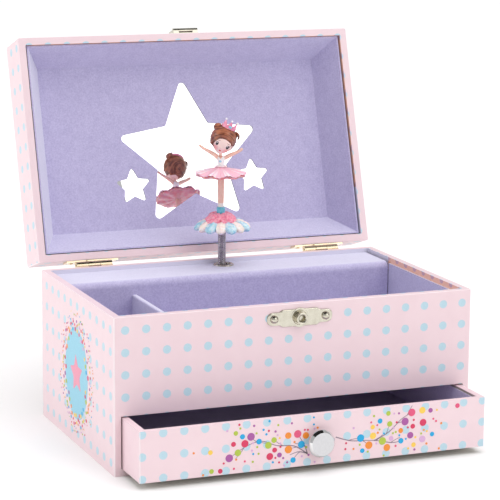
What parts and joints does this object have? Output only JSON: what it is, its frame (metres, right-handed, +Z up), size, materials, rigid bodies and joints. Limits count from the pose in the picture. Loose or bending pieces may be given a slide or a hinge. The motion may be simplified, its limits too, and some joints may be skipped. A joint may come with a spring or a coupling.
{
  "type": "music jewellery box",
  "caption": "Papered jewellery box with an open mirror lid, flocked tray, pull-out drawer, wind-up music movement and a dancer on a spring stem",
  "frame": {"origin": "middle of the bottom face", "axes": "+X to the box's right seen from the front, -Y to the front where the drawer opens, +Z up"},
  "size_m": [0.17, 0.191, 0.1771],
  "materials": {
    "greyboard": "raw grey board",
    "dotted_paper": "pale pink printed paper with light blue dots, satin",
    "plain_paper": "plain pink paper, satin",
    "lilac_flock": "short lilac flock on card",
    "dark_flock": "dark purple flock on card",
    "mirror_glass": "plain mirror",
    "nickel": "nickel plate, stamped",
    "brass": "bright brass plate",
    "cast_zinc": "cast zinc alloy, matt",
    "bright_steel": "drawn steel",
    "white_plastic": "moulded plastic",
    "ruffle_plastic": "painted moulded plastic",
    "skin_plastic": "moulded plastic, light skin colour",
    "tutu_plastic": "moulded plastic, pink",
    "bodice_plastic": "painted moulded plastic",
    "hair_plastic": "painted moulded plastic, auburn",
    "crown_plastic": "painted moulded plastic"
  },
  "bodies": {
    "root": {"bottom_board": "greyboard", "side_boards": "greyboard", "back_board": "greyboard", "front_board": "greyboard", "drawer_ceiling": "greyboard", "box_paper": "dotted_paper", "tray_floor": "lilac_flock", "tray_wall_linings": "lilac_flock", "tray_divider": "lilac_flock", "compartment_cover": "lilac_flock", "spring_eyelet": "nickel", "latch_plate": "nickel", "latch_nails": "nickel", "hinge_box_leaves": "brass", "hinge_pins": "brass", "hinge_box_nails": "brass", "movement_bedplate": "cast_zinc", "movement_screws": "bright_steel", "comb": "bright_steel", "governor_bracket": "cast_zinc", "barrel_bridge": "cast_zinc"},
    "lid": {"lid_top_board": "greyboard", "lid_wall_boards": "greyboard", "lid_paper": "dotted_paper", "lid_lining": "lilac_flock", "lid_mirror": "mirror_glass", "hinge_lid_leaves": "brass", "hinge_lid_nails": "brass", "hasp_plate": "nickel", "hasp_nails": "nickel", "hasp_pin": "nickel"},
    "hasp": {"hasp_tab": "nickel"},
    "drawer": {"drawer_front": "greyboard", "drawer_wall_boards": "greyboard", "drawer_bottom": "greyboard", "drawer_front_paper": "dotted_paper", "drawer_side_paper": "plain_paper", "drawer_lining": "dark_flock", "drawer_knob": "nickel", "knob_screw": "bright_steel"},
    "cylinder": {"cylinder_arbor": "bright_steel", "music_cylinder": "brass", "cylinder_wheels": "brass"},
    "barrel": {"spring_barrel": "cast_zinc", "mainspring": "bright_steel"},
    "key": {"winding_arbor": "bright_steel", "winding_key": "bright_steel"},
    "transfer": {"transfer_gear": "white_plastic"},
    "governor": {"governor_fan": "white_plastic"},
    "spindle": {"drive_spindle": "bright_steel"},
    "stem": {"stem_spring": "bright_steel", "stand_plug": "white_plastic"},
    "dancer": {"dancer_stand": "ruffle_plastic", "dancer_slippers": "ruffle_plastic", "dancer_legs": "skin_plastic", "dancer_tutu": "tutu_plastic", "dancer_torso": "bodice_plastic", "dancer_head": "skin_plastic", "dancer_hair": "hair_plastic", "dancer_crown": "crown_plastic"}
  },
  "joints": [
    {"name": "lid_hinge", "type": "hinge", "parent": "root", "child": "lid", "pos_m": [0, 0.0562, 0.07025], "axis": [1, 0, 0], "range_deg": [0, 107.3]},
    {"name": "hasp_swing", "type": "hinge", "parent": "lid", "child": "hasp", "pos_m": [0.0006, 0.09269, 0.17598], "axis": [1, 0, 0], "range_deg": [0, 180]},
    {"name": "drawer_slide", "type": "slide", "parent": "root", "child": "drawer", "axis": [0, -1, 0], "range_m": [-0.0228, 0.0472]},
    {"name": "cylinder_spin", "type": "hinge", "parent": "root", "child": "cylinder", "pos_m": [-0.02, 0.0445, 0.046], "axis": [1, 0, 0], "continuous": true},
    {"name": "barrel_spin", "type": "hinge", "parent": "root", "child": "barrel", "pos_m": [-0.038, 0.037, 0.046], "axis": [0, 1, 0], "continuous": true},
    {"name": "key_wind", "type": "hinge", "parent": "root", "child": "key", "pos_m": [-0.038, 0.037, 0.046], "axis": [0, 1, 0], "continuous": true},
    {"name": "transfer_spin", "type": "hinge", "parent": "root", "child": "transfer", "pos_m": [-0.02, 0.0445, 0.05335], "axis": [1, 0, 0], "continuous": true},
    {"name": "governor_spin", "type": "hinge", "parent": "root", "child": "governor", "pos_m": [-0.0213, 0.0389, 0.05], "axis": [0, 0, 1], "continuous": true},
    {"name": "spindle_spin", "type": "hinge", "parent": "root", "child": "spindle", "pos_m": [0.002, 0.0445, 0.05], "axis": [0, 0, 1], "continuous": true},
    {"name": "stem_bend", "type": "hinge", "parent": "root", "child": "stem", "pos_m": [0.002, 0.03775, 0.06475], "axis": [1, 0, 0], "range_deg": [0, 90], "deforming": ["stem_spring"]},
    {"name": "dancer_spin", "type": "hinge", "parent": "stem", "child": "dancer", "pos_m": [0.002, 0.0445, 0.09], "axis": [0, 0, 1], "continuous": true}
  ],
  "couplings": [
    {"joint": "stem_bend", "follows": "lid_hinge", "ratio": 0.83877},
    {"joint": "barrel_spin", "follows": "cylinder_spin", "ratio": 0.25},
    {"joint": "transfer_spin", "follows": "cylinder_spin", "ratio": -2.5},
    {"joint": "governor_spin", "follows": "cylinder_spin", "ratio": 70},
    {"joint": "spindle_spin", "follows": "cylinder_spin", "ratio": -2},
    {"joint": "dancer_spin", "follows": "cylinder_spin", "ratio": -2}
  ]
}
